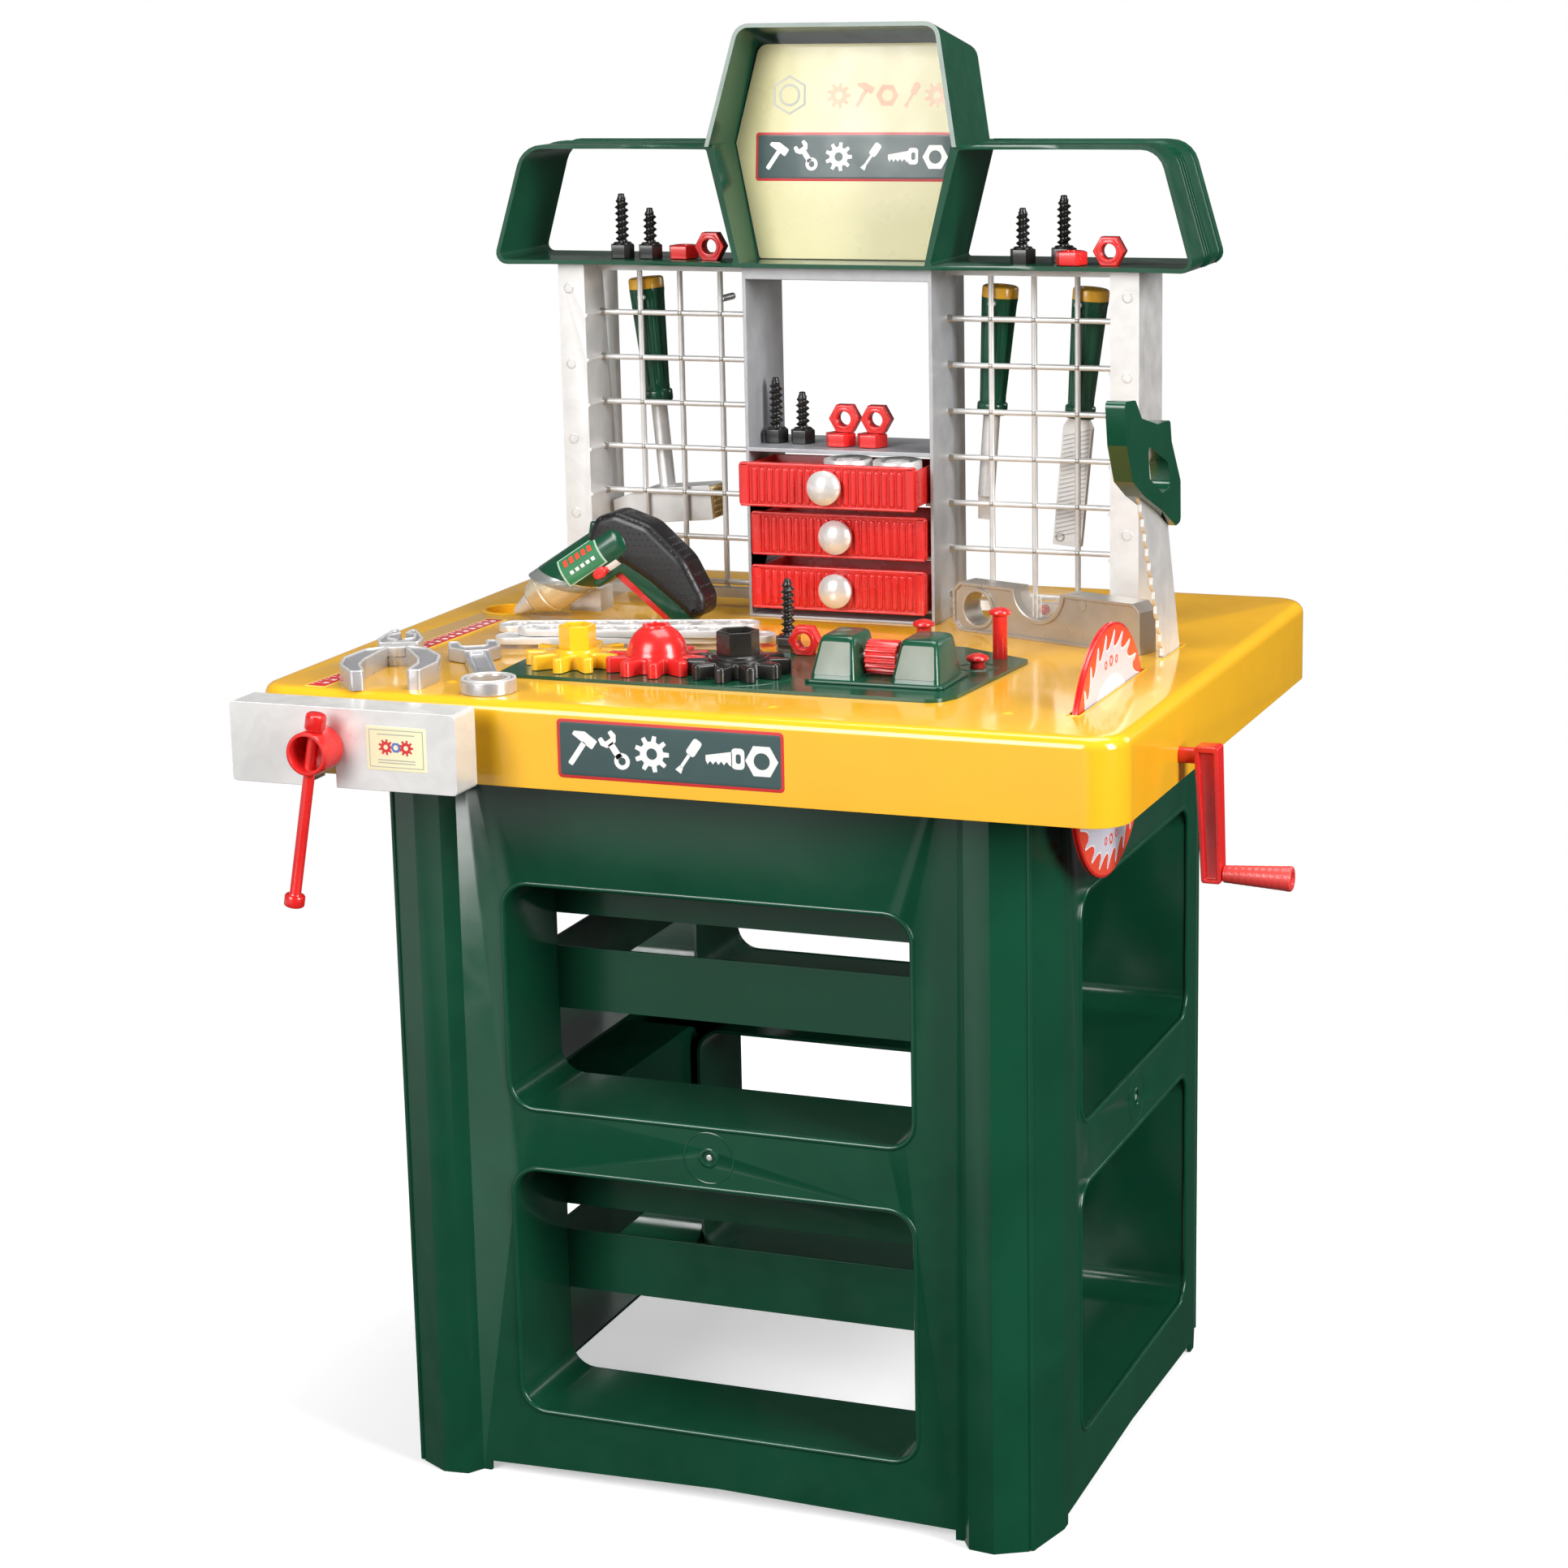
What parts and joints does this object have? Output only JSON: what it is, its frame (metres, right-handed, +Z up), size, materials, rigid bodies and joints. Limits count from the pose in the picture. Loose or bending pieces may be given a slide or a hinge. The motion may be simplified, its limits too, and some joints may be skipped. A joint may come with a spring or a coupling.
{
  "type": "toy workbench",
  "caption": "Toy workbench with recessed base panels, a skirted top carrying gears, crank saw and vise, and a backboard with tool grids, drawers and shelf.",
  "frame": {"origin": "on the floor under the middle of the table top", "axes": "+X to the right of a person facing the front, +Y to the back, +Z up"},
  "size_m": [0.6748, 0.5694, 0.986],
  "materials": {
    "green_gloss": "glossy moulded plastic",
    "yellow_gloss": "glossy moulded plastic",
    "red_gloss": "glossy moulded plastic",
    "silver_plastic": "silver-grey pearl plastic",
    "dark_plastic": "black plastic",
    "grip_rubber": "matt dimpled grip",
    "screw_steel": "plated screw heads",
    "sign_sheet": "thin printed sheet",
    "clear_plastic": "clear moulded plastic"
  },
  "bodies": {
    "bench": {"front_panel": "green_gloss", "back_panel": "green_gloss", "left_panel": "green_gloss", "right_panel": "green_gloss", "table_top": "yellow_gloss", "work_mat": "green_gloss", "roller_housings": "green_gloss", "roller_pin": "silver_plastic", "gear_pins": "silver_plastic", "left_grid_frame": "silver_plastic", "right_grid_frame": "silver_plastic", "drawer_cabinet": "silver_plastic", "cover_screws": "screw_steel", "shelf_front_shell": "green_gloss", "shelf_rear_shell": "green_gloss", "sign_panel": "sign_sheet", "toy_bolts": "dark_plastic", "toy_nuts": "red_gloss"},
    "gear_yellow": {"gear_yellow": "yellow_gloss"},
    "gear_red": {"gear_red": "red_gloss"},
    "gear_black": {"gear_black": "dark_plastic"},
    "roller": {"ridged_roller": "red_gloss"},
    "peg_tall": {"peg_tall": "red_gloss"},
    "peg_low": {"peg_low": "red_gloss"},
    "peg_rear": {"peg_rear": "red_gloss"},
    "saw": {"saw_disc": "red_gloss", "saw_axle": "red_gloss", "crank_arm": "red_gloss"},
    "crank_grip": {"crank_grip": "red_gloss"},
    "jaw": {"vise_jaw": "silver_plastic", "vise_guides": "silver_plastic"},
    "vise_screw": {"vise_screw": "red_gloss"},
    "vise_bar": {"vise_bar": "red_gloss"},
    "drawer_top": {"drawer_top": "red_gloss", "knob_top": "silver_plastic", "drawer_washers": "silver_plastic"},
    "drawer_middle": {"drawer_middle": "red_gloss", "knob_middle": "silver_plastic"},
    "drawer_bottom": {"drawer_bottom": "red_gloss", "knob_bottom": "silver_plastic"},
    "strips": {"perforated_strips": "silver_plastic"},
    "pliers": {"pliers_lower_half": "silver_plastic"},
    "pliers_upper": {"pliers_upper_half": "silver_plastic"},
    "spanner": {"spanner": "silver_plastic"},
    "level": {"level_body": "silver_plastic", "level_vial": "clear_plastic"},
    "level_ball": {"level_ball": "red_gloss"},
    "hand_saw": {"hand_saw_blade": "silver_plastic", "hand_saw_handle": "green_gloss"},
    "hammer": {"hammer_head": "silver_plastic", "hammer_handle": "green_gloss"},
    "screwdriver": {"screwdriver_blade": "silver_plastic", "screwdriver_handle": "green_gloss"},
    "file": {"file_blade": "silver_plastic", "file_handle": "green_gloss"},
    "driver": {"driver_body": "green_gloss", "driver_grip": "grip_rubber"},
    "driver_nose": {"driver_nose": "silver_plastic"},
    "driver_trigger": {"driver_trigger": "red_gloss"},
    "driver_button": {"driver_button": "red_gloss"}
  },
  "joints": [
    {"name": "gear_red_spin", "type": "hinge", "parent": "bench", "child": "gear_red", "pos_m": [-0.054, -0.135, 0.5745], "axis": [0, 0, 1], "continuous": true},
    {"name": "gear_yellow_spin", "type": "hinge", "parent": "bench", "child": "gear_yellow", "pos_m": [-0.1125, -0.135, 0.5745], "axis": [0, 0, 1], "continuous": true},
    {"name": "gear_black_spin", "type": "hinge", "parent": "bench", "child": "gear_black", "pos_m": [0.0045, -0.135, 0.5745], "axis": [0, 0, 1], "continuous": true},
    {"name": "roller_spin", "type": "hinge", "parent": "bench", "child": "roller", "pos_m": [0.103, -0.121, 0.583], "axis": [1, 0, 0], "continuous": true},
    {"name": "peg_tall_slide", "type": "slide", "parent": "bench", "child": "peg_tall", "axis": [0, 0, 1], "range_m": [-0.027, 0]},
    {"name": "peg_low_slide", "type": "slide", "parent": "bench", "child": "peg_low", "axis": [0, 0, 1], "range_m": [-0.004, 0.025]},
    {"name": "peg_rear_slide", "type": "slide", "parent": "bench", "child": "peg_rear", "axis": [0, 0, 1], "range_m": [-0.016, 0.013]},
    {"name": "saw_spin", "type": "hinge", "parent": "bench", "child": "saw", "pos_m": [0.3, -0.112, 0.528], "axis": [1, 0, 0], "continuous": true},
    {"name": "crank_grip_spin", "type": "hinge", "parent": "saw", "child": "crank_grip", "pos_m": [0.352, -0.112, 0.451], "axis": [1, 0, 0], "continuous": true},
    {"name": "vise_slide", "type": "slide", "parent": "bench", "child": "jaw", "axis": [0, -1, 0], "range_m": [-0.0166, 0.0201]},
    {"name": "vise_screw_turn", "type": "hinge", "parent": "jaw", "child": "vise_screw", "pos_m": [-0.221, -0.3, 0.54], "axis": [0, -1, 0], "range_deg": [-495, 600]},
    {"name": "vise_bar_slide", "type": "slide", "parent": "vise_screw", "child": "vise_bar", "axis": [0.1822, 0, 0.9833], "range_m": [0, 0.08]},
    {"name": "drawer_top_slide", "type": "slide", "parent": "bench", "child": "drawer_top", "axis": [0, -1, 0], "range_m": [-0.022, 0.035]},
    {"name": "drawer_middle_slide", "type": "slide", "parent": "bench", "child": "drawer_middle", "axis": [0, -1, 0], "range_m": [-0.001, 0.055]},
    {"name": "drawer_bottom_slide", "type": "slide", "parent": "bench", "child": "drawer_bottom", "axis": [0, -1, 0], "range_m": [-0.0025, 0.043]},
    {"name": "strips_lift", "type": "slide", "parent": "bench", "child": "strips", "axis": [0, 0, 1], "range_m": [0, 0.03]},
    {"name": "pliers_lift", "type": "slide", "parent": "bench", "child": "pliers", "axis": [0, 0, 1], "range_m": [0, 0.08]},
    {"name": "pliers_pivot", "type": "hinge", "parent": "pliers", "child": "pliers_upper", "pos_m": [-0.2394, -0.1532, 0.5729], "axis": [0, 0, 1], "range_deg": [-18, 2]},
    {"name": "spanner_lift", "type": "slide", "parent": "bench", "child": "spanner", "axis": [0, 0, 1], "range_m": [0, 0.06]},
    {"name": "level_lift", "type": "slide", "parent": "bench", "child": "level", "axis": [0, 0, 1], "range_m": [0, 0.08]},
    {"name": "level_ball_roll", "type": "hinge", "parent": "level", "child": "level_ball", "pos_m": [0.1609, 0.0441, 0.6013], "axis": [0.3355, 0.9421, 0], "range_deg": [-20, 20]},
    {"name": "hand_saw_lift", "type": "slide", "parent": "bench", "child": "hand_saw", "axis": [0, 0, 1], "range_m": [0, 0.12]},
    {"name": "hammer_unhook", "type": "slide", "parent": "bench", "child": "hammer", "axis": [0, 1, 0], "range_m": [0, 0.03]},
    {"name": "screwdriver_unhook", "type": "slide", "parent": "bench", "child": "screwdriver", "axis": [0, 1, 0], "range_m": [0, 0.03]},
    {"name": "file_unhook", "type": "slide", "parent": "bench", "child": "file", "axis": [0, 1, 0], "range_m": [0, 0.03]},
    {"name": "driver_lift", "type": "slide", "parent": "bench", "child": "driver", "axis": [0, 0, 1], "range_m": [0, 0.1]},
    {"name": "driver_nose_spin", "type": "hinge", "parent": "driver", "child": "driver_nose", "pos_m": [-0.213, 0.03, 0.5853], "axis": [0.8387, 0, 0.5446], "continuous": true},
    {"name": "driver_trigger_pull", "type": "slide", "parent": "driver", "child": "driver_trigger", "axis": [0.6392, 0, 0.769], "range_m": [0, 0.003], "stiffness_N_per_m": 150},
    {"name": "driver_button_press", "type": "slide", "parent": "driver", "child": "driver_button", "axis": [0, 1, 0], "range_m": [0, 0.0025], "stiffness_N_per_m": 200}
  ],
  "couplings": [
    {"joint": "gear_yellow_spin", "follows": "gear_red_spin", "ratio": -1},
    {"joint": "gear_black_spin", "follows": "gear_red_spin", "ratio": -1},
    {"joint": "vise_slide", "follows": "vise_screw_turn", "m_per_rad": 0.0019099}
  ]
}
